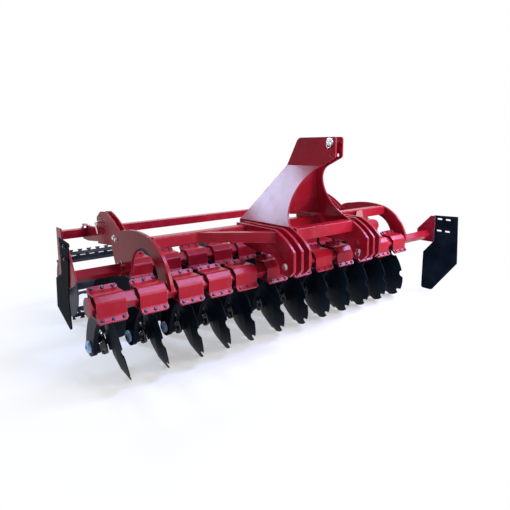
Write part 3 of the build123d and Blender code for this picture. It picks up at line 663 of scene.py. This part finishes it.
class HARROW_OT_hitch_fittings(bpy.types.Operator):
    """Heads, collars and linch pins on the hitch pins"""

    bl_idname = "harrow.hitch_fittings"
    bl_label = "Hitch fittings"

    def execute(self, context):
        bm = bmesh.new()
        for side in SIDES:
            out = RIGHT * side
            outer = at(side * HITCH_OUTER_X, *LINK_PIN)
            spun(bm, turned(outer, out), LINK_PIN_HEAD)
            inner = at(side * HITCH_INNER_X, *LINK_PIN)
            spun(bm, turned(inner, -out), LINK_PIN_COLLAR)
            hoop(bm, turned(inner - out * 11 * MM - UP * 20 * MM, out), 20 * MM, 2.5 * MM)
        left = at(-MAST_HALF, *MAST_PIN)
        spun(bm, turned(left, -RIGHT), MAST_PIN_HEAD)
        hexagon(bm, turned(left - RIGHT * 9 * MM, -RIGHT), 24 * MM, 8 * MM)
        hoop(bm, turned(left - RIGHT * 15 * MM - UP * 22 * MM, RIGHT), 19 * MM, 2.6 * MM)
        right = at(MAST_HALF, *MAST_PIN)
        spun(bm, turned(right, RIGHT), MAST_PIN_COLLAR)
        hoop(bm, turned(right + RIGHT * 8 * MM - UP * 18 * MM, RIGHT), 18 * MM, 2.4 * MM)
        piece("hitch_pin_fittings", bm, "frame", "zinc")
        return {"FINISHED"}


class HARROW_OT_depth_fittings(bpy.types.Operator):
    """Pivot nuts, bent pin handles and sector bolts on both sides"""

    bl_idname = "harrow.depth_fittings"
    bl_label = "Depth fittings"

    def execute(self, context):
        arch_outside = ARCH_X + PLATE_HALF
        handles = []
        nuts = bmesh.new()
        for side in SIDES:
            for out in SIDES:
                face = at(side * SECTOR_X + out * SECTOR_HALF, *PIVOT)
                spun(nuts, turned(face, RIGHT * out), PIVOT_WASHER)
                hexagon(nuts, turned(face + RIGHT * out * 3 * MM, RIGHT * out), 30 * MM, 12 * MM)
            for x, out in ((SECTOR_X - SECTOR_HALF, -1), (arch_outside, 1)):
                bolt(nuts, turned(at(side * x, *SECTOR_BOLT), RIGHT * out * side), 24 * MM)
            tip = at(side * arch_outside, *DEPTH_PIN)
            handles.append([tip + (RIGHT * side * out + FRONT * forward + UP * rise) * MM
                            for out, forward, rise in HANDLE_BENDS])
        piece("sector_bolts", nuts, "frame", "zinc")
        wire("depth_pin_handles", handles, 7 * MM, "frame", "zinc")
        return {"FINISHED"}


class HARROW_OT_roller_fittings(bpy.types.Operator):
    """Clamp strips on the roller beam, bearing bolts and grease nipples"""

    bl_idname = "harrow.roller_fittings"
    bl_label = "Roller fittings"

    def execute(self, context):
        thick, long, high = 10 * MM, 116 * MM, 30 * MM
        strips = bmesh.new()
        bolts = bmesh.new()
        for side in SIDES:
            for out in (side, -side):
                face = at(side * SECTOR_X + out * ROLLER_ARM_HALF, ROLLER_BACK, STRIP_RISE)
                place = Matrix.Translation(face + RIGHT * out * thick / 2)
                made = bmesh.ops.create_cube(
                    strips, size=1.0, matrix=place @ Matrix.Diagonal((thick, long, high, 1)))["verts"]
                rims = list({e for v in made for e in v.link_edges})
                bmesh.ops.bevel(
                    strips, geom=rims, offset=3 * MM, affect="EDGES", segments=2, profile=0.5, material=-1)
                for back in (-42, 42):
                    spot = face + RIGHT * out * thick - FRONT * back * MM
                    bolt(bolts, turned(spot, RIGHT * out), 24 * MM)
            bearing = at(side * BEARING_X, ROLLER_BACK, 0)
            bearing.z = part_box("roller_bearings")[0][2] + BEARING_RADIUS * MM
            for step in ring_of(4, 43 * MM, start=pi / 4):
                bolt(bolts, turned(bearing, RIGHT * side) @ step, 19 * MM)
            nipple = bearing + UP * (BEARING_RADIUS - 1) * MM - RIGHT * side * 14 * MM
            drum(bolts, turned(nipple, UP, FRONT), 4 * MM, 12 * MM, segments=10)
        piece("roller_beam_plates", strips, "roller_frame", "frame red")
        piece("roller_bolts", bolts, "roller_frame", "zinc")
        return {"FINISHED"}


class HARROW_OT_board_fittings(bpy.types.Operator):
    """Bolts of the side boards and the set screws of their tubes"""

    bl_idname = "harrow.board_fittings"
    bl_label = "Side board fittings"

    def execute(self, context):
        for name, side, row, spots in BOARDS:
            out = RIGHT * side
            bm = bmesh.new()
            for back, rise in spots:
                bolt(bm, turned(at(side * BOARD_OUTER_X, row + back, rise), out), 22 * MM)
                bolt(bm, turned(at(side * BOARD_INNER_X, row + back, rise), -out), 22 * MM)
            piece(f"{name}_board_bolts", bm, f"{name}_side_board", "bolt blue")
            screws = bmesh.new()
            for slope in SIDES:
                way = Vector((0, slope, 1)).normalized()
                start = at(side * BEAM_END_X, row, 0) + way * 40 * MM
                drum(screws, turned(start, way, RIGHT), 7 * MM, 12 * MM, segments=12)
            piece(f"{name}_tube_screws", screws, "frame", "zinc")
        return {"FINISHED"}


class HARROW_OT_weld_beads(bpy.types.Operator):
    """Weld beads where tubes and plates of the frame meet"""

    bl_idname = "harrow.weld_beads"
    bl_label = "Weld beads"

    def execute(self, context):
        runs = []
        closed = set()

        def loop(x, middle, half):
            """Bead all round a square tube where it meets a plate."""
            closed.add(len(runs))
            back, rise = middle
            corners = ((-1, -1), (1, -1), (1, 1), (-1, 1))
            runs.append([at(x, back + a * half, rise + b * half) for a, b in corners])

        low, high = UPPER_TUBE[1] - 35, UPPER_TUBE[1] + 35
        for side in SIDES:
            for face in (-PLATE_HALF, PLATE_HALF):
                for row in (0, ROW_STEP):
                    saddle = ((-48, 9), (0, 57), (48, 9))
                    runs.append([at(side * ARCH_X + face, row + back, rise) for back, rise in saddle])
            loop(side * (ARCH_X - PLATE_HALF), UPPER_TUBE, 40)
            for plate in HITCH_PLATES_X:
                for face in (-PLATE_HALF, PLATE_HALF):
                    loop(side * (plate + face), UPPER_TUBE, 40)
            loop(side * HITCH_INNER_X, HITCH_TUBE, 45)
            for mast_edge in (306, 322):
                runs.append([at(side * mast_edge, back, 313) for back in (-130, 430)])
            brace_rear = ((818, low), (818, high), (892, high), (892, low))
            runs.append([at(side * x, 192, rise) for x, rise in brace_rear])
            brace_front = ((-150, low), (-150, high), (-76, high), (-76, low))
            runs.append([at(side * HITCH_OUTER_X, back, rise) for back, rise in brace_front])
        radius = context.scene.harrow_sizes.weld_radius
        wire("weld_beads", runs, radius, "frame", "weld red", closed)
        return {"FINISHED"}


class HARROW_OT_stage(bpy.types.Operator):
    """White studio: floor, soft lights and the camera"""

    bl_idname = "harrow.stage"
    bl_label = "Studio"

    def execute(self, context):
        scene = context.scene
        stage = scene.harrow_stage
        scene.view_settings.view_transform = "Standard"
        self.floor(scene)
        for name, place, target, size, power, colour in LIGHTS:
            self.light(scene, name, place, target, size, getattr(stage, power), colour)
        self.world(scene, stage)
        self.camera(scene, stage)
        return {"FINISHED"}

    def floor(self, scene):
        """Pale floor that keeps the shadow and goes over to white further out."""
        bm = bmesh.new()
        bmesh.ops.create_circle(bm, cap_ends=True, segments=64, radius=FLOOR_RADIUS)
        mesh = bpy.data.meshes.new("floor")
        bm.to_mesh(mesh)
        bm.free()
        made = bpy.data.objects.new("floor", mesh)
        made.location.z = -FLOOR_DROP
        scene.collection.objects.link(made)
        paint, recipe = material("floor white")
        settings = {"operation": "LENGTH"}
        distance = recipe.node("ShaderNodeVectorMath", settings, (recipe.coords(),), "Value")
        share = (distance.over(*FLOOR_FADE) * (1 - FLOOR_WHITE) + FLOOR_WHITE) * recipe.seen()
        near = recipe.node("ShaderNodeBsdfDiffuse", inputs={"Color": (0.93, 0.93, 0.93, 1.0)})
        white = recipe.node("ShaderNodeEmission", inputs={"Color": (1.0, 1.0, 1.0, 1.0), "Strength": 1.0})
        shader = recipe.node("ShaderNodeMixShader", inputs=(share, near, white))
        recipe.node("ShaderNodeOutputMaterial", inputs={"Surface": shader})
        mesh.materials.append(paint)

    def light(self, scene, name, place, target, size, power, colour):
        """Soft light panel that looks at a target."""
        lamp = bpy.data.lights.new(name, "AREA")
        lamp.shape = "RECTANGLE"
        lamp.size, lamp.size_y = size
        lamp.energy = power
        lamp.color = colour
        made = bpy.data.objects.new(name, lamp)
        made.location = place
        made.rotation_euler = (Vector(target) - Vector(place)).to_track_quat("-Z", "Y").to_euler()
        scene.collection.objects.link(made)

    def world(self, scene, stage):
        """Even light from all round, seen as plain white."""
        scene.world = bpy.data.worlds.new("studio")
        recipe = Recipe(scene.world)
        around = recipe.node("ShaderNodeBackground", inputs=((*stage.sky, 1.0), stage.sky_strength))
        white = recipe.node("ShaderNodeBackground", inputs=((1.0, 1.0, 1.0, 1.0), 1.0))
        shader = recipe.node("ShaderNodeMixShader", inputs=(recipe.seen(), around, white))
        recipe.node("ShaderNodeOutputWorld", inputs={"Surface": shader})

    def camera(self, scene, stage):
        """Camera at the photograph's place and angle."""
        lens = bpy.data.cameras.new("camera")
        lens.sensor_width = 36.0
        lens.lens = stage.lens
        lens.shift_x, lens.shift_y = stage.shift
        made = bpy.data.objects.new("camera", lens)
        made.location = Vector((0, AXIS_Y, AXIS_Z)) + Vector(stage.eye)
        level = cos(stage.pitch)
        way = Vector((sin(stage.yaw) * level, cos(stage.yaw) * level, -sin(stage.pitch)))
        turn = way.to_track_quat("-Z", "Y").to_matrix() @ Matrix.Rotation(stage.roll, 3, "Z")
        made.rotation_euler = turn.to_euler()
        scene.collection.objects.link(made)
        scene.camera = made


class HARROW_PT_looks(bpy.types.Panel):
    """Sidebar panel with every step of the looks"""

    bl_idname = "HARROW_PT_looks"
    bl_label = "Disc harrow looks"
    bl_space_type = "VIEW_3D"
    bl_region_type = "UI"
    bl_category = "Harrow"

    def draw(self, context):
        for group in (context.scene.harrow_finish, context.scene.harrow_sizes, context.scene.harrow_stage):
            box = self.layout.box()
            for name in group.__annotations__:
                box.prop(group, name)
        for step in STEPS:
            self.layout.operator(step.bl_idname)


GROUPS = {"harrow_finish": HarrowFinish, "harrow_sizes": HarrowSizes, "harrow_stage": HarrowStage}
STEPS = (
    HARROW_OT_paint,
    HARROW_OT_clamp_bolts,
    HARROW_OT_hub_castings,
    HARROW_OT_disc_bolts,
    HARROW_OT_hitch_fittings,
    HARROW_OT_depth_fittings,
    HARROW_OT_roller_fittings,
    HARROW_OT_board_fittings,
    HARROW_OT_weld_beads,
    HARROW_OT_stage,
)


def register():
    for group in (*GROUPS.values(), *STEPS, HARROW_PT_looks):
        bpy.utils.register_class(group)
    for name, group in GROUPS.items():
        setattr(bpy.types.Scene, name, PointerProperty(type=group))


def unregister():
    for name in GROUPS:
        delattr(bpy.types.Scene, name)
    for group in (HARROW_PT_looks, *reversed(STEPS), *GROUPS.values()):
        bpy.utils.unregister_class(group)


def main():
    register()
    for step in STEPS:
        area, name = step.bl_idname.split(".")
        getattr(getattr(bpy.ops, area), name)()


if __name__ == "__main__":
    main()
